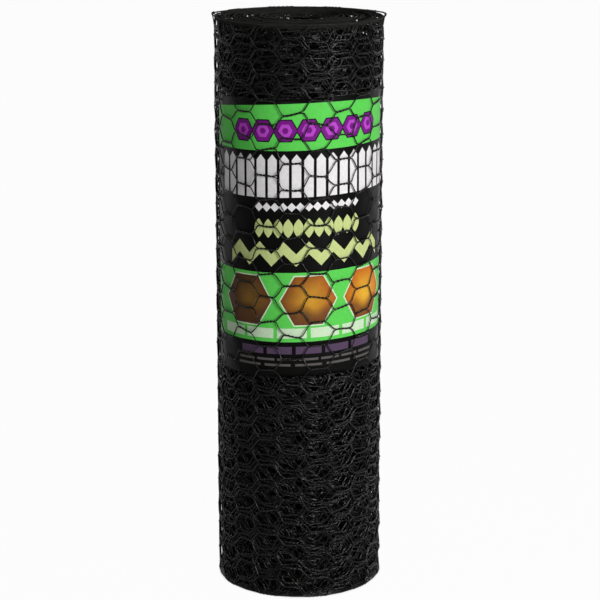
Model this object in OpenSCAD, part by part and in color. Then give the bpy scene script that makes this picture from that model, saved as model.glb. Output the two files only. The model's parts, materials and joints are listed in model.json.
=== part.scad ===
// Roll of hexagonal wire netting, standing on its end, with a printed paper
// label on its front, under the last turn.
// The netting is one long piece, wound as a spiral round a mandrel that was
// pulled out. The wound turns are drawn as one solid: the open mesh is too
// fine to draw here, so each turn shows as a ridge on both ends of the roll.
// The base of the roll is on the XY plane, its bore is on the Z axis, and the
// label faces -Y.

/* [Netting roll] */
// Width of the netting, which is the height of the standing roll
roll_h = 610; // [450:5:920]
// Outside diameter of the roll
roll_d = 177; // [130:1:240]
// Diameter of the hollow that the winding mandrel left
bore_d = 50; // [30:1:76]
// Length of netting on the roll
netting_l = 15240; // [7620:20:22860]
// Thickness of the selvedge, the wires twisted along the netting's edge
selvedge_t = 0.9; // [0.4:0.05:1.2]
// How deep the gaps between the turns are cut into the ends of the roll
gap_depth = 1.8; // [0.5:0.1:4]
// Direction of the netting's free edge, seen from above, from +X towards +Y
free_edge_angle = 105; // [70:1:110]

/* [Label] */
// Height of the label sheet
label_h = 290; // [150:1:400]
// Length of the label sheet around the roll
label_l = 232; // [120:1:400]
// Thickness of the label sheet
label_t = 0.3; // [0.15:0.05:0.6]
// Height of the label's lower edge above the base, at the middle of the sheet
label_z = 245; // [20:1:300]
// How far the label's middle is turned from -Y towards +X
label_turn = 2; // [-15:0.5:15]
// How far the label is wrapped askew, right side up
label_skew = 2; // [-4:0.1:4]
// Thickness of the last turn, which lies loose over the label and shows it
last_turn_t = 3.2; // [1.8:0.1:5]
// Room left round the label sheet
label_gap = 0.1; // [0.05:0.05:0.5]

/* [Hidden] */
$fn = 180;

netting_black = [0.07, 0.07, 0.08];
label_green = [0.36, 0.83, 0.36];

// Netting of this length fills the ring between the bore and the outside at
// this radial pitch from turn to turn.
turn_pitch = PI * (pow(roll_d / 2, 2) - pow(bore_d / 2, 2)) / netting_l;
turns = floor((roll_d - bore_d) / 2 / turn_pitch);
gap_w = max(turn_pitch - selvedge_t, turn_pitch / 10);

// The spiral is drawn with half circles about two centres, half a pitch apart,
// so its radius grows by half a pitch from each half turn to the next.
half_pitch = turn_pitch / 2;
outer_r = roll_d / 2;

// The label lies on the last turn but one.
label_seat_r = outer_r - last_turn_t;
label_in_r = label_seat_r + label_gap;
label_arc = label_l / label_in_r * 180 / PI;
label_middle_angle = 270 + label_turn;

// A cutting tool reaches past the solid by this much.
past = 1;

// Half of the wound turns, about one centre, with its outside at radius r.
module half_turns(r) {
    rotate_extrude(angle = 180) square([r, roll_h]);
}

// The gaps in front of the turns of one half, cut down into the end at z = 0.
module half_gaps(r, count) {
    rotate_extrude(angle = 180)
        for (k = [1:count])
            translate([r - k * turn_pitch - gap_w / 2, -past])
                square([gap_w, gap_depth + past]);
}

// Both halves of the spiral, the outer one about the bore's axis and the inner
// one half a pitch aside, which leaves a step of one pitch at the free edge.
// They meet in the XZ plane, and are turned together to face the free edge.
module outer_half() {
    mirror([0, 1, 0]) children();
}

module inner_half() {
    translate([half_pitch, 0, 0]) children();
}

module facing_free_edge() {
    rotate([0, 0, free_edge_angle - 180]) children();
}

module wound_turns() {
    facing_free_edge() {
        outer_half() half_turns(outer_r);
        inner_half() half_turns(outer_r - half_pitch);
    }
}

// The spiral gap between the turns, on the end at z = 0.
module end_gap() {
    facing_free_edge() {
        outer_half() half_gaps(outer_r, turns - 1);
        inner_half() half_gaps(outer_r - half_pitch, turns - 2);
    }
}

// A band about the roll's axis, from radius r_in to r_out, that has the
// label's outline grown by the margin on every side.
module label_band(r_in, r_out, margin) {
    arc = label_arc + 2 * margin / label_in_r * 180 / PI;
    h = label_h + 2 * margin;
    reach = 2 * roll_d;
    intersection() {
        rotate([0, 0, label_middle_angle - arc / 2])
            rotate_extrude(angle = arc)
                translate([r_in, 0])
                    square([r_out - r_in, roll_h]);
        translate([0, 0, label_z + label_h / 2])
            rotate([0, -label_skew, 0])
                cube([reach, reach, h], center = true);
    }
}

// All the netting: the turns, the bore, and the window that the last turn's
// open mesh leaves over the label.
module netting_roll() {
    color(netting_black)
        difference() {
            wound_turns();
            end_gap();
            translate([0, 0, roll_h]) mirror([0, 0, 1]) end_gap();
            translate([0, 0, -past]) cylinder(d = bore_d, h = roll_h + 2 * past);
            label_band(label_seat_r, outer_r + past, label_gap);
        }
}

// The paper label, which lies against the turn under it.
module label() {
    color(label_green)
        label_band(label_in_r, label_in_r + label_t, 0);
}

netting_roll();
label();
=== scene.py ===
"""Looks of a roll of black coated hexagonal wire netting that stands on its end.

The netting is one strip, drawn flat as cells of two wires and then wound up as a
spiral. Its last turn lies loose over a printed paper label.
"""

import json
import math

import bmesh
import bpy
import numpy as np
from mathutils import Matrix, Vector


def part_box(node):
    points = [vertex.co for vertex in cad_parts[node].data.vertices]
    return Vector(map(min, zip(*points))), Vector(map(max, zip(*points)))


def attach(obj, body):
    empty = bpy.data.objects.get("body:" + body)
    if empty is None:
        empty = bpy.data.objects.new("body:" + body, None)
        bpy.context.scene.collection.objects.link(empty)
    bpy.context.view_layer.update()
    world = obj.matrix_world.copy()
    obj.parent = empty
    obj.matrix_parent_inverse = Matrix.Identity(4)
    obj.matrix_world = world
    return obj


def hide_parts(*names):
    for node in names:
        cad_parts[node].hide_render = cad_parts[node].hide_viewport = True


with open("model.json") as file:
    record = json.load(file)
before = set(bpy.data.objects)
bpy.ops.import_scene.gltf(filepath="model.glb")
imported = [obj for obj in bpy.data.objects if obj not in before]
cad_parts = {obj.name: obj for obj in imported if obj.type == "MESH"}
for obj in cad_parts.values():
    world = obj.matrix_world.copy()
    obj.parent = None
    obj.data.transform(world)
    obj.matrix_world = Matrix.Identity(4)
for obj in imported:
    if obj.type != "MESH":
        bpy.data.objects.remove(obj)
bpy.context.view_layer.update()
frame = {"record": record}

# Sizes are in millimetres, and MM turns them to metres when a mesh is placed.
MM = 0.001

# The roll and its label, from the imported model
roll_low, roll_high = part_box("netting_roll")
label_low, label_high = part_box("label")
ROLL_H = roll_high.z / MM
ROLL_R = -roll_low.y / MM
LABEL_OUT_R = -label_low.y / MM
LABEL_MID_Z = (label_low.z + label_high.z) / 2 / MM
BORE_R = frame["record"]["mounts"][0]["dims"]["r_mm"]

# The label sheet
LABEL_T = 0.3
LABEL_H = 290
LABEL_L = 232
LABEL_SKEW = math.radians(2)
LABEL_MIDDLE = math.radians(272)
LABEL_ARC = LABEL_L / (LABEL_OUT_R - LABEL_T)

# How finely it is drawn, and by how much it is too tall before it is cut askew
LABEL_CUTS = 44
LABEL_STEPS = 64
LABEL_SPARE = 5

# The netting, laid flat: u along its length, v across its width, w out of it
WIRE_R = 0.6
PAIR_R = 2 * WIRE_R
MESH_W = 25.4
TWIST_L = 20
TWIST_TURNS = 2
SLANT_L = 7.3
BEND_L = 1.8
NETTING_L = 15240
PERIOD = 2 * (TWIST_L + SLANT_L)

# Its width is measured between the middle lines of its two selvedges.
NETTING_W = ROLL_H - 2 * PAIR_R
ROWS = 2 * round(NETTING_W / MESH_W)
ROW_GAP = NETTING_W / ROWS

# Points of wires that are nearer than this are one point.
WELD = 0.01

# The spiral, from the free edge inwards. The outer turns were wound tight, and
# the last one is loose up to its end, where it goes over into the next.
FREE_EDGE = math.radians(105)
LAST_R = ROLL_R - WIRE_R
BORE_ROOM = 0.5
INNER_R = BORE_R + PAIR_R + BORE_ROOM
SPIRAL_STEPS = 24000
TIGHT = 0.68
LOOSE_END = math.radians(300), math.radians(360)

# The label presses the turns under it in, less with each turn, and its press
# fades between these distances past its edges.
PRESS = 4.0
PRESS_DEPTH = 5
PRESS_REACH = 2, 5

# Cells this far inside the label's edges, as an angle and a height, are hidden.
HIDDEN_ASIDE = 0.2
HIDDEN_IN = 20

# How far the wires are from their true places: each by itself, and whole rows
# that shift together
WANDER = 1.0
STRETCH = 5.0
STRETCH_SLANT = 0.15

# How far in the wires are held in place by a selvedge, in a tight turn and in
# the loose one, and by the cut edge
TIGHT_HOLD = 15
LOOSE_HOLD = 34
CUT_HOLD = 60

# The inner turns were pulled unevenly when they were wound, and are up to this
# much narrower at each edge.
NARROWER = 4
PULLED = math.radians(360), math.radians(1800)
PULL_SWING = 1.4

# The tight turns are dented in and out and the loose one bulges out, at most so
# many times these depths, and the paper is wavy.
DENT = 0.2
DENT_MOST = 1.8
BULGE = 0.35
BULGE_MOST = 1.5
PAPER_WAVE = 0.1

# The loose turn's upper edge flares out, and stands up at the roll's two sides.
FLARE = 1.6
FLARE_REACH = 7
LIFT = 2.0
LIFT_POWER = 12

# The free edge is hooked in.
HOOK = 2.4
HOOK_REACH = 16

# Kinds of random waves: their number, and the shortest and longest
CELL_WAVES = 7, 24, 95
ROW_WAVES = 6, 230, 800
PULL_WAVES = 5, 260, 900
PAPER_WAVES = 6, 30, 110

# Their seeds
SEED_ALONG = 11
SEED_ACROSS = 12
SEED_BUMP = 13
SEED_PULL = 14
SEED_STRETCH = 15
SEED_PAPER = 21

# How finely the wires are drawn: sides of the section, steps in a bend and in a twist
FINE = 5, 2, 10
MEDIUM = 4, 1, 8
COARSE = 3, 1, 6
BARE = 3, 0, 1
EDGE_STEPS = 6

# The bare cells' wires are drawn fuller, for the twists that they leave out.
BARE_FULLER = 1.4
KINDS = "inner", "lower", "upper"

# Turns that share a piece, from the outside in, and how finely they are drawn
TURN_GROUPS = (
    ("netting_last_turn", 0, 1, FINE),
    ("netting_turns_2_to_3", 1, 3, MEDIUM),
    ("netting_turns_4_to_6", 3, 6, COARSE),
    ("netting_turns_7_to_14", 6, 14, BARE),
    ("netting_turns_15_to_24", 14, 24, BARE),
    ("netting_turns_25_to_bore", 24, 99, BARE),
)

# So many turns show in the bore, and are not drawn bare.
BORE_TURNS = 3

# Part of a wire's strip of the UV map that is left free on each side
STRIP_MARGIN = 0.05

# The coat's patches of dust, its grain, which is drawn coarser than it is so that
# it shows, and the depths under the roll's top between which settled dust sets in
DUST_PATCH = 9
GRAIN = 0.8
DUST_DEPTHS = 9, 6

# The white floor, in metres, how white it shows, and the ring about the roll's
# outside over which a painted shadow darkens it to its foot
FLOOR_HALF = 30
FLOOR_WHITE = 0.97
PAINTED_SHADOW_RING = -6, 1

# In mirrored rays the room is dim in front of the roll and overhead: the places
# in metres on the floor, and the parts of a heading, between which it changes
ROOM_DIM = 0.1
FLOOR_AWAY = -0.3, 1.0
HEADING_AWAY = -0.3, 0.3
HEADING_UP = 0.3, 0.8
AMBIENT = 0.07


def smooth_step(low, high, x):
    t = np.clip((x - low) / (high - low), 0, 1)
    return t * t * (3 - 2 * t)


def spiral_table():
    """Length of netting used up, angle and radius, along the spiral from the free edge inwards."""
    used = np.linspace(0, NETTING_L, SPIRAL_STEPS)
    share = used / NETTING_L
    filled = share * (1 - TIGHT * (1 - share))
    radius = np.sqrt(LAST_R**2 - (LAST_R**2 - INNER_R**2) * filled)
    steps = 2 * np.diff(used) / (radius[1:] + radius[:-1])
    return used, np.concatenate(([0], np.cumsum(steps))), radius


SPIRAL_L, SPIRAL_ANGLE, SPIRAL_R = spiral_table()
COLUMNS = int(NETTING_L // PERIOD)


def waves(seed, count, shortest, longest):
    """Random plane waves over the flat netting: their two wave numbers and their phase."""
    draw = np.random.default_rng(seed)
    number = 2 * math.pi / draw.uniform(shortest, longest, count)
    heading = draw.uniform(0, 2 * math.pi, count)
    phase = draw.uniform(0, 2 * math.pi, count)
    return np.stack([number * np.cos(heading), number * np.sin(heading), phase], 1)


def ripple(seed, u, v, kind=CELL_WAVES):
    """A smooth random height over the flat netting, about 1 in its usual size."""
    total = np.zeros_like(u)
    for along, across, phase in waves(seed, *kind):
        total += np.sin(along * u + across * v + phase)
    return total / math.sqrt(kind[0] / 2)


def under_label(angle, z):
    """1 where the label lies, falling to 0 a little past its edges."""
    along = np.abs((angle - LABEL_MIDDLE + math.pi) % (2 * math.pi) - math.pi) - LABEL_ARC / 2
    tilt = LABEL_OUT_R * np.cos(angle) * math.tan(LABEL_SKEW)
    across = np.abs(z - LABEL_MID_Z - tilt) - LABEL_H / 2
    past = np.maximum(along * LABEL_OUT_R, across)
    return 1 - smooth_step(*PRESS_REACH, past)


def wind(flat):
    """Places points of the flat netting on the spiral, with the wires' small faults, in metres."""
    u, v, w = flat.T
    u_bent = u + WANDER * ripple(SEED_ALONG, u, v) * smooth_step(0, CUT_HOLD, u)
    turn = np.interp(u_bent, SPIRAL_L, SPIRAL_ANGLE)
    loose = 1 - smooth_step(*LOOSE_END, turn)
    to_edge = np.minimum(v, NETTING_W - v)
    free = smooth_step(0, TIGHT_HOLD + (LOOSE_HOLD - TIGHT_HOLD) * loose, to_edge)
    stretch = STRETCH * free * ripple(SEED_STRETCH, u, STRETCH_SLANT * v, ROW_WAVES)
    v_bent = v + WANDER * free * ripple(SEED_ACROSS, u, v) + stretch
    bump = ripple(SEED_BUMP, u, v)
    bulge = loose * BULGE * np.clip(bump, 0, BULGE_MOST)
    dent = (1 - loose) * DENT * np.clip(bump, -DENT_MOST, DENT_MOST)
    near_top = loose * np.exp(-(NETTING_W - v) / FLARE_REACH)
    hook = HOOK * np.clip(1 - u / HOOK_REACH, 0, 1) ** 2
    swing = np.sin(ripple(SEED_PULL, u, 0 * u, PULL_WAVES) * PULL_SWING)
    pulled = smooth_step(*PULLED, turn) * (0.5 + 0.5 * swing)
    angle = FREE_EDGE + turn
    lift = LIFT * near_top * np.cos(angle) ** LIFT_POWER
    z = PAIR_R + v_bent + NARROWER * pulled * (1 - 2 * v / NETTING_W) + lift
    radius = np.interp(u_bent, SPIRAL_L, SPIRAL_R)
    press = PRESS * under_label(angle, z) * np.exp((radius - LAST_R) / PRESS_DEPTH) * (1 - loose)
    radius += w + (bulge + dent) + FLARE * near_top - hook - press
    return np.stack([radius * np.cos(angle), radius * np.sin(angle), z], 1) * MM


def section_frames(path):
    """At each point of a wire's middle line, the turn and place of its round section."""
    frames = []
    for before, here, after in zip(path[:1] + path[:-1], path, path[1:] + path[-1:]):
        ahead = (after - before).normalized()
        out = Vector((0, 0, 1))
        out = (out - ahead * out.dot(ahead)).normalized()
        aside = out.cross(ahead)
        turn = Matrix((aside, out, ahead)).transposed().to_4x4()
        frames.append(Matrix.Translation(here) @ turn)
    return frames


def twist_points(side, half, steps):
    """One wire of a twisted side: a helix about the side's middle line."""
    points = []
    for k in range(steps + 1):
        angle = 2 * math.pi * TWIST_TURNS * k / steps
        u = half * (2 * k / steps - 1)
        points.append(Vector((u, side * WIRE_R * math.cos(angle), side * WIRE_R * math.sin(angle))))
    return points


def slant_points(side, bend_steps):
    """From the twist's right end to the middle of the slanting side there."""
    corner = Vector((TWIST_L / 2, side * WIRE_R, 0))
    middle = Vector(((TWIST_L + SLANT_L) / 2, side * ROW_GAP / 2, 0))
    if bend_steps == 0:
        return [middle]
    start = corner - Vector((BEND_L, 0, 0))
    end = corner + (middle - corner).normalized() * BEND_L
    curve = []
    for k in range(1, bend_steps + 1):
        t = k / bend_steps
        curve.append(start * (1 - t) ** 2 + corner * 2 * t * (1 - t) + end * t * t)
    return curve + [middle]


def mirrored(points):
    return [Vector((-p.x, p.y, p.z)) for p in reversed(points)]


def mesh_wire(side, bend_steps, twist_steps):
    """Middle line of one wire of a cell: slanting side, twisted side, slanting side."""
    half = TWIST_L / 2 - (BEND_L if bend_steps else 0)
    slant = slant_points(side, bend_steps)
    return mirrored(slant) + twist_points(side, half, twist_steps) + slant


def selvedge_wire(side, twist_steps):
    """Middle line of the edge wire, which is straight between the twists."""
    straight = [Vector((TWIST_L / 2 + BEND_L, 0, 0)), Vector((PERIOD / 2, 0, 0))]
    return mirrored(straight) + twist_points(side, TWIST_L / 2 - BEND_L, twist_steps) + straight


def cell_wires(kind, bend_steps, twist_steps):
    """The two wires of a cell: of an inner one, or of one at the lower or upper edge."""
    if kind == "inner":
        return [mesh_wire(side, bend_steps, twist_steps) for side in (-1, 1)]
    outward = -1 if kind == "lower" else 1
    steps = max(twist_steps, EDGE_STEPS)
    return [selvedge_wire(outward, steps), mesh_wire(-outward, bend_steps, steps)]


def kind_of_row(row):
    return "lower" if row == 0 else "upper" if row == ROWS else "inner"


def ring_radius(level):
    """The radius of a wire's section of few sides that is as wide as the round one."""
    sides = level[0]
    fuller = BARE_FULLER if level is BARE else 1
    return WIRE_R * fuller * math.pi / (sides * math.sin(math.pi / sides))


def grow_wire(bm, path, sides, radius, strip, strips):
    """Extrudes a ring along a wire's middle line, with its own strip of the UV map."""
    uv = bm.loops.layers.uv["OFBake"]
    around = bm.verts.layers.float["around"]
    frames = section_frames(path)
    ring = bmesh.ops.create_circle(bm, segments=sides, radius=radius)["verts"]
    for k, vert in enumerate(ring):
        vert[around] = k / sides
    bmesh.ops.transform(bm, matrix=frames[0], verts=ring)
    first_rim = rim = list({edge for vert in ring for edge in vert.link_edges})
    place = {vert: 0.0 for vert in ring}
    for step, (here, there) in enumerate(zip(frames, frames[1:]), 1):
        grown = bmesh.ops.extrude_edge_only(bm, edges=rim)["geom"]
        ring = [g for g in grown if isinstance(g, bmesh.types.BMVert)]
        place.update((vert, step / (len(frames) - 1)) for vert in ring)
        rim = [g for g in grown if isinstance(g, bmesh.types.BMEdge) and set(g.verts) <= set(ring)]
        bmesh.ops.transform(bm, matrix=there @ here.inverted(), verts=ring)
        for face in (g for g in grown if isinstance(g, bmesh.types.BMFace)):
            past_seam = max(vert[around] for vert in face.verts) > 1 - 1.5 / sides
            for loop in face.loops:
                turn = loop.vert[around]
                turn = 1.0 if past_seam and turn == 0 else turn
                within = STRIP_MARGIN + (1 - 2 * STRIP_MARGIN) * turn
                loop[uv].uv = place[loop.vert], (strip + within) / strips
    return first_rim


def wire_mesh():
    bm = bmesh.new()
    bm.loops.layers.uv.new("OFBake")
    bm.verts.layers.float.new("around")
    return bm


def flat_cell(paths, sides, radius):
    """Points, faces and UV places of one cell of wires, laid flat, as arrays."""
    bm = wire_mesh()
    for strip, path in enumerate(paths):
        grow_wire(bm, path, sides, radius, strip, len(paths))
    bmesh.ops.recalc_face_normals(bm, faces=bm.faces)
    bm.verts.index_update()
    uv = bm.loops.layers.uv["OFBake"]
    points = np.array([vert.co for vert in bm.verts])
    faces = np.array([[vert.index for vert in face.verts] for face in bm.faces])
    places = np.array([[loop[uv].uv for loop in face.loops] for face in bm.faces])
    bm.free()
    return points, faces, places


def flat_cells(level):
    sides, bend_steps, twist_steps = level
    radius = ring_radius(level)
    return {kind: flat_cell(cell_wires(kind, bend_steps, twist_steps), sides, radius) for kind in KINDS}


def cell_centres():
    """Row, place along the netting and turn of every whole cell."""
    rows, places = [], []
    for row in range(ROWS + 1):
        odd = row % 2
        column = np.arange(1 - odd, COLUMNS)
        places.append(column * PERIOD + odd * PERIOD / 2)
        rows.append(np.full(len(column), row))
    place = np.concatenate(places)
    turn = np.interp(place, SPIRAL_L, SPIRAL_ANGLE) / (2 * math.pi)
    return np.concatenate(rows), place, turn


def behind_label(row, place, turn):
    """True for the cells of the turns under the label that it hides."""
    angle = FREE_EDGE + 2 * math.pi * turn
    off_front = np.abs((angle - LABEL_MIDDLE + math.pi) % (2 * math.pi) - math.pi)
    off_middle = np.abs(row * ROW_GAP + PAIR_R - LABEL_MID_Z)
    return (turn > 1) & (off_front < LABEL_ARC / 2 - HIDDEN_ASIDE) & (off_middle < LABEL_H / 2 - HIDDEN_IN)


def lay_cells(kind, row, place):
    """Copies a flat cell to each place and winds the copies up."""
    points, faces, uv = kind
    centres = np.stack([place, row * ROW_GAP, np.zeros_like(place)], 1)
    flat = (centres[:, None, :] + points[None]).reshape(-1, 3)
    starts = np.arange(len(place)) * len(points)
    copied = (starts[:, None, None] + faces[None]).reshape(-1, 4)
    return wind(flat), copied, np.tile(uv.reshape(-1, 2), (len(place), 1))


def joined_mesh(name, parts):
    """One mesh from arrays of points, four-sided faces and UV places, welded where wires go on."""
    counts = np.cumsum([0] + [len(points) for points, _, _ in parts])
    points = np.concatenate([points for points, _, _ in parts])
    faces = np.concatenate([faces + start for (_, faces, _), start in zip(parts, counts)])
    places = np.concatenate([uv for _, _, uv in parts])
    mesh = bpy.data.meshes.new(name)
    mesh.vertices.add(len(points))
    mesh.vertices.foreach_set("co", points.ravel())
    mesh.loops.add(faces.size)
    mesh.loops.foreach_set("vertex_index", faces.ravel().astype(np.int32))
    mesh.polygons.add(len(faces))
    mesh.polygons.foreach_set("loop_start", np.arange(0, faces.size, 4, dtype=np.int32))
    mesh.update(calc_edges=True)
    mesh.uv_layers.new(name="OFBake").uv.foreach_set("vector", places.astype(np.float32).ravel())
    bm = bmesh.new()
    bm.from_mesh(mesh)
    bmesh.ops.remove_doubles(bm, verts=bm.verts, dist=WELD * MM)
    bmesh.ops.holes_fill(bm, edges=[edge for edge in bm.edges if edge.is_boundary], sides=0)
    bm.to_mesh(mesh)
    bm.free()
    mesh.shade_smooth()
    return mesh


def add_piece(name, mesh, node, slot, *materials):
    piece = bpy.data.objects.new(name, mesh)
    bpy.context.collection.objects.link(piece)
    for material in materials:
        mesh.materials.append(material)
    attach(piece, "root")
    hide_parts(node)
    return piece


def linear(hex_colour):
    """An sRGB hex colour as linear RGBA."""
    channels = [int(hex_colour[k:k + 2], 16) / 255 for k in (1, 3, 5)]
    return [c / 12.92 if c <= 0.04045 else ((c + 0.055) / 1.055) ** 2.4 for c in channels] + [1.0]


def add_node(tree, kind, *values, out=0, **settings):
    """Adds a node, sets it, links or sets its inputs in order, and gives one output. None skips an input."""
    node = tree.nodes.new("ShaderNode" + kind)
    for name, value in settings.items():
        setattr(node, name, value)
    for socket, value in zip(node.inputs, values):
        if isinstance(value, bpy.types.NodeSocket):
            tree.links.new(value, socket)
        elif value is not None:
            socket.default_value = value
    return node.outputs[out]


def new_material(name):
    material = bpy.data.materials.new(name)
    material.use_nodes = True
    return material, material.node_tree, material.node_tree.nodes["Principled BSDF"]


def black_pvc_coat():
    """PVC drawn over wire: satin black, rubbed smooth in places, dull with dust at the roll's upper end."""
    material, tree, shader = new_material("black PVC coat")
    spot = add_node(tree, "TexCoord", out="Object")
    dust = add_node(tree, "TexNoise", spot, None, 1 / (DUST_PATCH * MM), 3.0)
    dusty = add_node(tree, "MapRange", dust, 0.42, 0.75)
    colour = add_node(tree, "Mix", dusty, *[None] * 5, linear("#0a0a0a"), linear("#1e1e1c"),
                      out=2, data_type="RGBA")
    rubbed = add_node(tree, "MapRange", dust, 0.35, 0.7, 0.15, 0.3)
    grain = add_node(tree, "TexNoise", spot, None, 1 / (GRAIN * MM), 2.0)
    bump = add_node(tree, "Bump", 0.15, 0.1 * MM, None, grain)
    height = add_node(tree, "SeparateXYZ", spot, out="Z")
    low, high = [(ROLL_H - depth) * MM for depth in DUST_DEPTHS]
    settled = add_node(tree, "MapRange", height, low, high)
    roughness = add_node(tree, "Mix", settled, None, rubbed, 1.0)
    thick = add_node(tree, "MapRange", dust, 0.3, 0.7, 0.4, 1.0)
    settled = add_node(tree, "Math", settled, thick, operation="MULTIPLY")
    colour = add_node(tree, "Mix", settled, *[None] * 5, colour, linear("#282725"), out=2, data_type="RGBA")
    tree.links.new(colour, shader.inputs["Base Color"])
    tree.links.new(roughness, shader.inputs["Roughness"])
    tree.links.new(bump, shader.inputs["Normal"])
    shader.inputs["Specular IOR Level"].default_value = 0.36
    return material


def cut_steel():
    """The wire's steel core, bright where cutters have sheared it, with a brown bloom of rust."""
    material, tree, shader = new_material("sheared steel")
    spot = add_node(tree, "TexCoord", out="Object")
    bloom = add_node(tree, "TexNoise", spot, None, 1 / (0.7 * MM), 2.0)
    colour = add_node(tree, "Mix", bloom, *[None] * 5, linear("#b9b7b2"), linear("#6b5344"),
                      out=2, data_type="RGBA")
    tree.links.new(colour, shader.inputs["Base Color"])
    shader.inputs["Metallic"].default_value = 1.0
    shader.inputs["Roughness"].default_value = 0.42
    return material


def bare_paper():
    """The unprinted back and edges of the label's paper."""
    material, tree, shader = new_material("bare paper")
    spot = add_node(tree, "TexCoord", out="Object")
    fibre = add_node(tree, "TexNoise", spot, None, 1 / (2.5 * MM), 4.0)
    colour = add_node(tree, "Mix", fibre, *[None] * 5, linear("#d9d6cc"), linear("#efede6"),
                      out=2, data_type="RGBA")
    tree.links.new(colour, shader.inputs["Base Color"])
    shader.inputs["Roughness"].default_value = 0.85
    return material


# The label's print is this far off the sheet's middle. Its inks:
PRINT_ASIDE = 7
INK_BLACK = "#0b0b0a"
INK_GREEN = "#62d95a"
INK_PURPLE = "#7d1f8a"
INK_MAGENTA = "#c04bd0"
INK_WHITE = "#f3f0f2"
INK_LIME = "#cfdd92"
INK_PALE = "#d6f0cc"
INK_BROWN = "#5a3c28"
INK_ORANGE = "#d8741f"
INK_YELLOW = "#f7bf3c"
INK_GREY = "#5f5c5a"
INK_MAUVE = "#594660"


def printed_gloss_paper():
    """Coated paper printed in flat inks: green bands and pale rows of plain shapes on black.

    x runs along the sheet from its middle and y up from its lower edge, in millimetres.
    """
    material, tree, shader = new_material("printed gloss paper")
    sheet = add_node(tree, "UVMap", uv_map="print")
    place = add_node(tree, "Mapping", sheet, (-LABEL_L / 2 - PRINT_ASIDE, 0, 0), None, (LABEL_L, LABEL_H, 1))
    x = add_node(tree, "SeparateXYZ", place, out="X")
    y = add_node(tree, "SeparateXYZ", place, out="Y")
    across = add_node(tree, "Math", x, operation="ABSOLUTE")

    def print_within(paper, ink, *limits):
        """Prints an ink or a colour over the paper where each value lies within its two limits."""
        mask = 1.0
        for value, low, high in limits:
            inside = add_node(tree, "Math", value, (low + high) / 2, (high - low) / 2, operation="COMPARE")
            mask = add_node(tree, "Math", inside, mask, operation="MULTIPLY")
        ink = linear(ink) if isinstance(ink, str) else ink
        return add_node(tree, "Mix", mask, *[None] * 5, paper, ink, out=2, data_type="RGBA")

    def motif_row(count, pitch):
        """Distance from the middle of the nearest motif of a row, and the limits of that row."""
        shifted = add_node(tree, "Math", x, pitch / 2 * (1 - count % 2), operation="SUBTRACT")
        local = add_node(tree, "Math", shifted, pitch / 2, -pitch / 2, operation="WRAP")
        aside = add_node(tree, "Math", local, operation="ABSOLUTE")
        return aside, (across, 0, count * pitch / 2)

    def off_height(middle):
        gap = add_node(tree, "Math", y, middle, operation="SUBTRACT")
        return add_node(tree, "Math", gap, operation="ABSOLUTE")

    def hexagon(aside, above):
        """Half the width over the flats of the hexagon that passes through a point."""
        slope = add_node(tree, "Math", aside, math.cos(math.pi / 6), operation="MULTIPLY")
        slope = add_node(tree, "Math", above, 0.5, slope, operation="MULTIPLY_ADD")
        return add_node(tree, "Math", slope, above, operation="MAXIMUM")

    # Green head band, its upper edge a flat arch, with a row of purple honeycomb cells
    arch = add_node(tree, "Math", across, 2, operation="POWER")
    arch = add_node(tree, "Math", arch, 5.2e-4, y, operation="MULTIPLY_ADD")
    colour = print_within(linear(INK_BLACK), INK_GREEN, (y, 237, 290), (arch, 0, 285))
    aside, row = motif_row(7, 24)
    cell = hexagon(aside, off_height(257.5))
    for size, ink in ((11.6, INK_BLACK), (10.4, INK_PURPLE), (6.4, INK_MAGENTA), (3.0, INK_PURPLE)):
        colour = print_within(colour, ink, (cell, 0, size), row)

    # White pickets with pointed tops
    aside, row = motif_row(17, 12.6)
    top = add_node(tree, "Math", aside, 1.2, y, operation="MULTIPLY_ADD")
    colour = print_within(colour, INK_WHITE, (aside, 0, 4.8), (top, 0, 233.5), (y, 189, 240), row)

    # Small white lozenges
    aside, row = motif_row(13, 8.8)
    lozenge = add_node(tree, "Math", aside, off_height(179), operation="ADD")
    colour = print_within(colour, INK_WHITE, (lozenge, 0, 4.8), row)

    # Row of pale leaves, and a pale zigzag under it
    above = add_node(tree, "Math", off_height(157), 10, operation="DIVIDE")
    above = add_node(tree, "Math", above, 2, operation="POWER")
    aside, row = motif_row(11, 10.6)
    leaf = add_node(tree, "Math", aside, 1 / 5.2, above, operation="MULTIPLY_ADD")
    colour = print_within(colour, INK_LIME, (leaf, 0, 1), row)
    aside, row = motif_row(7, 26)
    zigzag = add_node(tree, "Math", aside, y, operation="ADD")
    colour = print_within(colour, INK_LIME, (zigzag, 130, 143), row)

    # Green band with three hexagonal windows on a low sun over fields
    colour = print_within(colour, INK_GREEN, (y, 37, 110.5))
    aside, row = motif_row(3, 69)
    window = hexagon(aside, off_height(80.5))
    warmth = add_node(tree, "MapRange", x, -55, 80)
    glow = add_node(tree, "Mix", warmth, *[None] * 5, linear(INK_BROWN), linear(INK_ORANGE),
                    out=2, data_type="RGBA")
    near_sun = add_node(tree, "MapRange", window, 25, 3, 0.0, 0.95)
    brightness = add_node(tree, "MapRange", x, -80, 70, 0.1, 1.0)
    sunlit = add_node(tree, "Math", near_sun, brightness, operation="MULTIPLY")
    glow = add_node(tree, "Mix", sunlit, *[None] * 5, glow, linear(INK_YELLOW), out=2, data_type="RGBA")
    fold = add_node(tree, "Math", x, 0.21, operation="MULTIPLY")
    fold = add_node(tree, "Math", fold, operation="SINE")
    field = add_node(tree, "Math", fold, 3.0, y, operation="MULTIPLY_ADD")
    shade = add_node(tree, "MapRange", field, 76, 66, 0.0, 0.7)
    glow = add_node(tree, "Mix", shade, *[None] * 5, glow, linear(INK_BROWN), out=2, data_type="RGBA")
    colour = print_within(colour, INK_PALE, (window, 0, 27), row)
    colour = print_within(colour, glow, (window, 0, 25.6), row)

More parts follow.
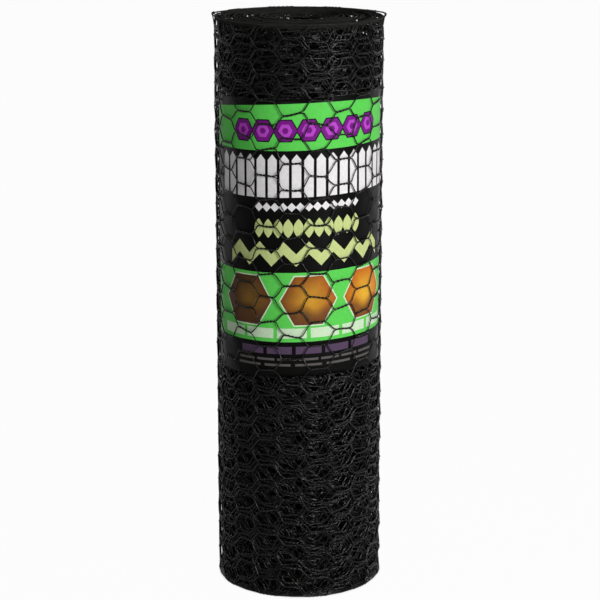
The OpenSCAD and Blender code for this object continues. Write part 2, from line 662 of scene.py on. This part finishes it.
    # Pale bars along its foot, and mauve and grey bars under it
    for low, high, count, pitch, half, ink in (
        (41, 51.5, 6, 35, 15.5, INK_PALE),
        (24, 32, 5, 31, 13.5, INK_MAUVE),
        (17, 19.5, 7, 23, 10, INK_GREY),
        (11, 13.5, 5, 33, 14, INK_GREY),
    ):
        aside, row = motif_row(count, pitch)
        colour = print_within(colour, ink, (y, low, high), (aside, 0, half), row)

    # Thin mottle in the ink, and a shine that is broken by waves in the paper
    spot = add_node(tree, "TexCoord", out="Object")
    mottle = add_node(tree, "TexNoise", spot, None, 1 / (3 * MM), 3.0)
    mottle = add_node(tree, "MapRange", mottle, 0.3, 0.7, 0.0, 0.1)
    colour = add_node(tree, "Mix", mottle, *[None] * 5, colour, linear(INK_BLACK), out=2, data_type="RGBA")
    shine = add_node(tree, "TexNoise", spot, None, 1 / (16 * MM), 2.0)
    shine_level = add_node(tree, "MapRange", shine, 0.3, 0.7, 0.28, 0.44)
    bump = add_node(tree, "Bump", 0.25, 0.4 * MM, None, shine)
    tree.links.new(colour, shader.inputs["Base Color"])
    tree.links.new(shine_level, shader.inputs["Roughness"])
    tree.links.new(bump, shader.inputs["Normal"])
    shader.inputs["Specular IOR Level"].default_value = 0.07
    return material


PVC = black_pvc_coat()
STEEL = cut_steel()


def netting_turns(name, first, last, level, flat, cells):
    """The whole cells of some turns as one piece. Hidden cells are drawn bare, and the ends' cells coarse."""
    row, place, turn = cells
    mine = (turn >= first) & (turn < last)
    hidden = behind_label(row, place, turn)
    near_end = (row <= 1) | (row >= ROWS - 1)
    near_bore = turn > turn.max() - BORE_TURNS
    if level is BARE:
        shown = near_end | near_bore
        choice = {COARSE: shown, BARE: ~shown}
    else:
        choice = {level: ~hidden, BARE: hidden}
    in_rows = {"lower": row == 0, "upper": row == ROWS, "inner": (row > 0) & (row < ROWS)}
    parts = []
    for detail, chosen in choice.items():
        for kind in KINDS:
            pick = mine & chosen & in_rows[kind]
            if pick.any():
                parts.append(lay_cells(flat[detail][kind], row[pick], place[pick]))
    add_piece(name, joined_mesh(name, parts), "netting_roll", "coated_wire", PVC)


def cut_edge(name, place, facing, level):
    """The netting's end, cut through the twists of every second row, with the steel showing."""
    sides, bend_steps, twist_steps = level
    bm = wire_mesh()
    for row in range(0, ROWS + 1, 2):
        corner = Vector((place, row * ROW_GAP, 0))
        wires = cell_wires(kind_of_row(row), bend_steps, twist_steps)
        for strip, wire in enumerate(wires):
            half = [p + corner for p in wire[::facing] if p.x * facing > -WELD]
            cut = grow_wire(bm, half, sides, ring_radius(level), strip, len(wires))
            bmesh.ops.edgeloop_fill(bm, edges=cut, mat_nr=1)
    bmesh.ops.holes_fill(bm, edges=[edge for edge in bm.edges if edge.is_boundary], sides=0)
    bmesh.ops.recalc_face_normals(bm, faces=bm.faces)
    for vert, placed in zip(bm.verts, wind(np.array([vert.co for vert in bm.verts]))):
        vert.co = placed
    mesh = bpy.data.meshes.new(name)
    bm.to_mesh(mesh)
    bm.free()
    mesh.shade_smooth()
    add_piece(name, mesh, "netting_roll", "coated_wire", PVC, STEEL)


def make_netting():
    flat = {level: flat_cells(level) for level in (FINE, MEDIUM, COARSE, BARE)}
    cells = cell_centres()
    for name, first, last, level in TURN_GROUPS:
        netting_turns(name, first, last, level, flat, cells)
    cut_edge("netting_free_edge", 0, 1, FINE)
    cut_edge("netting_inner_edge", COLUMNS * PERIOD, -1, COARSE)


def make_label():
    """A vertical line spun round the roll, cut askew at both edges, waved and given its thickness."""
    bm = bmesh.new()
    start = LABEL_MIDDLE - LABEL_ARC / 2
    tall = LABEL_H / 2 + LABEL_OUT_R * math.tan(LABEL_SKEW) + LABEL_SPARE
    foot = Vector((LABEL_OUT_R * math.cos(start), LABEL_OUT_R * math.sin(start), LABEL_MID_Z))
    ends = [bm.verts.new(foot + Vector((0, 0, side * tall))) for side in (-1, 1)]
    bmesh.ops.subdivide_edges(bm, edges=[bm.edges.new(ends)], cuts=LABEL_CUTS)
    line = bm.verts[:] + bm.edges[:]
    bmesh.ops.spin(bm, geom=line, axis=(0, 0, 1), angle=LABEL_ARC, steps=LABEL_STEPS)
    up = Vector((-math.sin(LABEL_SKEW), 0, math.cos(LABEL_SKEW)))
    middle = Vector((0, 0, LABEL_MID_Z))
    for side in (-1, 1):
        geometry = bm.verts[:] + bm.edges[:] + bm.faces[:]
        bmesh.ops.bisect_plane(bm, geom=geometry, dist=1e-4, plane_co=middle + up * side * LABEL_H / 2,
                               plane_no=up * side, clear_outer=True)
    print_map = bm.loops.layers.uv.new("print")
    for face in bm.faces:
        if face.normal.dot(face.calc_center_median() * Vector((1, 1, 0))) < 0:
            face.normal_flip()
        for loop in face.loops:
            angle = math.atan2(loop.vert.co.y, loop.vert.co.x) % (2 * math.pi)
            height = (loop.vert.co - middle).dot(up)
            loop[print_map].uv = (angle - start) / LABEL_ARC, height / LABEL_H + 0.5
    for vert in bm.verts:
        angle = math.atan2(vert.co.y, vert.co.x) % (2 * math.pi)
        along = np.array([angle * LABEL_OUT_R])
        wave = ripple(SEED_PAPER, along, np.array([vert.co.z]), PAPER_WAVES)[0]
        vert.co += vert.co * Vector((1, 1, 0)) / LABEL_OUT_R * PAPER_WAVE * wave
    bmesh.ops.scale(bm, vec=(MM, MM, MM), verts=bm.verts)
    mesh = bpy.data.meshes.new("label")
    bm.to_mesh(mesh)
    bm.free()
    mesh.shade_smooth()
    piece = add_piece("label_sheet", mesh, "label", "printed_paper", printed_gloss_paper(), bare_paper())
    wall = piece.modifiers.new("paper thickness", "SOLIDIFY")
    wall.thickness = LABEL_T * MM
    wall.offset = -1
    wall.material_offset = 1
    wall.material_offset_rim = 1


def seen_rays(tree):
    """1 for rays that show the background: from the camera, mirrored or through glass."""
    seen = add_node(tree, "LightPath", out="Is Camera Ray")
    for ray in ("Is Glossy Ray", "Is Transmission Ray"):
        seen = add_node(tree, "Math", seen, add_node(tree, "LightPath", out=ray), operation="MAXIMUM")
    return seen


def dimmed_in_mirrors(tree, level):
    """The level for mirrored rays, and 1 for the camera's own."""
    camera_ray = add_node(tree, "LightPath", out="Is Camera Ray")
    return add_node(tree, "Math", level, camera_ray, operation="MAXIMUM")


def white_stage():
    """A white floor that keeps a faint shadow, with a painted shadow under the roll and about its foot, where
    its glow is taken away.
    """
    bm = bmesh.new()
    bmesh.ops.create_grid(bm, x_segments=1, y_segments=1, size=FLOOR_HALF)
    mesh = bpy.data.meshes.new("floor")
    bm.to_mesh(mesh)
    bm.free()
    floor = bpy.data.objects.new("floor", mesh)
    bpy.context.collection.objects.link(floor)
    material, tree, shader = new_material("white paper floor")
    shader.inputs["Base Color"].default_value = linear("#ececec")
    shader.inputs["Roughness"].default_value = 0.9
    spot = add_node(tree, "TexCoord", out="Object")
    from_axis = add_node(tree, "VectorMath", spot, out="Value", operation="LENGTH")
    # Painted shadow: the floor's glow fades out over a ring about the roll's foot and is gone under it
    inside, outside = [(ROLL_R + past) * MM for past in PAINTED_SHADOW_RING]
    glow_with_painted_shadow = add_node(tree, "MapRange", from_axis, inside, outside, 0.0, FLOOR_WHITE)
    away = add_node(tree, "SeparateXYZ", spot, out="Y")
    sweep = add_node(tree, "MapRange", away, *FLOOR_AWAY, ROOM_DIM, 1.0)
    sweep = dimmed_in_mirrors(tree, sweep)
    glow_with_painted_shadow = add_node(tree, "Math", glow_with_painted_shadow, sweep, operation="MULTIPLY")
    share = add_node(tree, "Math", seen_rays(tree), glow_with_painted_shadow, operation="MULTIPLY")
    glow = add_node(tree, "Emission", linear("#ffffff"), 1.0)
    mix = add_node(tree, "MixShader", share, shader.outputs[0], glow)
    tree.links.new(mix, tree.nodes["Material Output"].inputs["Surface"])
    mesh.materials.append(material)


def studio_light():
    """A key lamp, a small fill, and a world that shows white and lights faintly."""
    world = bpy.data.worlds.new("studio")
    bpy.context.scene.world = world
    world.use_nodes = True
    tree = world.node_tree
    backdrop = tree.nodes["Background"]
    backdrop.inputs["Color"].default_value = linear("#ffffff")
    heading = add_node(tree, "TexCoord", out="Generated")
    up = add_node(tree, "SeparateXYZ", heading, out="Z")
    away = add_node(tree, "SeparateXYZ", heading, out="Y")
    below_ceiling = add_node(tree, "MapRange", up, *HEADING_UP, 1.0, ROOM_DIM)
    behind_roll = add_node(tree, "MapRange", away, *HEADING_AWAY, ROOM_DIM, 1.0)
    sweep = add_node(tree, "Math", below_ceiling, behind_roll, operation="MULTIPLY")
    sweep = dimmed_in_mirrors(tree, sweep)
    shown = add_node(tree, "Math", seen_rays(tree), sweep, operation="MULTIPLY")
    level = add_node(tree, "MapRange", shown, 0.0, 1.0, AMBIENT, 1.0)
    tree.links.new(level, backdrop.inputs["Strength"])
    for name, place, size, power in (
        ("key from the right", (1.75, -2.1, 1.05), 0.8, 56),
        ("fill from the left", (-0.58, -2.25, 1.3), 0.3, 7),
    ):
        lamp = bpy.data.lights.new(name, "AREA")
        lamp.size = size
        lamp.energy = power
        thing = bpy.data.objects.new(name, lamp)
        thing.location = place
        aim = Vector((0, 0, ROLL_H / 2 * MM)) - thing.location
        thing.rotation_euler = aim.to_track_quat("-Z", "Y").to_euler()
        bpy.context.collection.objects.link(thing)


# The camera, fitted to the roll's outline in the photograph, 600 pixels wide
PHOTO_W = 600
FOCAL_PX = 2009
CAMERA_BACK = 2088
CAMERA_H = 833
CAMERA_DOWN = math.radians(14.185)
ROLL_LEFT_PX = 0.8


def place_camera():
    lens = bpy.data.cameras.new("camera")
    lens.sensor_width = 36
    lens.lens = FOCAL_PX * lens.sensor_width / PHOTO_W
    camera = bpy.data.objects.new("camera", lens)
    camera.location = Vector((ROLL_LEFT_PX / FOCAL_PX * CAMERA_BACK, -CAMERA_BACK, CAMERA_H)) * MM
    camera.rotation_euler = (math.pi / 2 - CAMERA_DOWN, 0, 0)
    bpy.context.collection.objects.link(camera)
    bpy.context.scene.camera = camera


place_camera()
make_netting()
make_label()
white_stage()
studio_light()
bpy.context.scene.view_settings.view_transform = "Standard"
